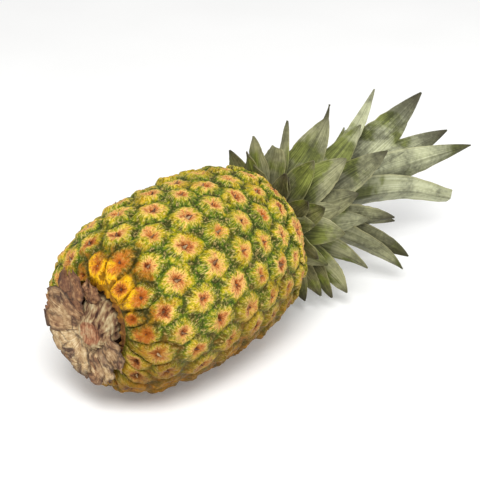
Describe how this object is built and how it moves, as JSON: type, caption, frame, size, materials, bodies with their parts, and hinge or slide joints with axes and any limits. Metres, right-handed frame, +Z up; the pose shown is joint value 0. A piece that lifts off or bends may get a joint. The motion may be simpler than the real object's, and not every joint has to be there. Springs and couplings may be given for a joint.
{
  "type": "pineapple",
  "caption": "Whole fresh pineapple lying on its side: barrel-shaped fruit with a spiral of eyes, a crown of stiff channelled leaves and a cut stalk with dry bracts.",
  "frame": {"origin": "middle of the pressed-flat spot of rind that the fruit lies on, under its weight", "axes": "+X along the fruit's axis from the cut stalk to the crown, +Z up from the surface that it lies on"},
  "size_m": [0.3452, 0.1227, 0.1217],
  "materials": {
    "rind": "waxy pineapple rind: peach eyes with yellow-green rims and green grooves",
    "leaf": "stiff grey-green leaf with a pale bloom, matt",
    "dry_stalk": "dry cut stalk and papery bracts, rough"
  },
  "bodies": {
    "root": {"fruit": "rind", "crown": "leaf", "stalk": "dry_stalk"}
  },
  "joints": []
}
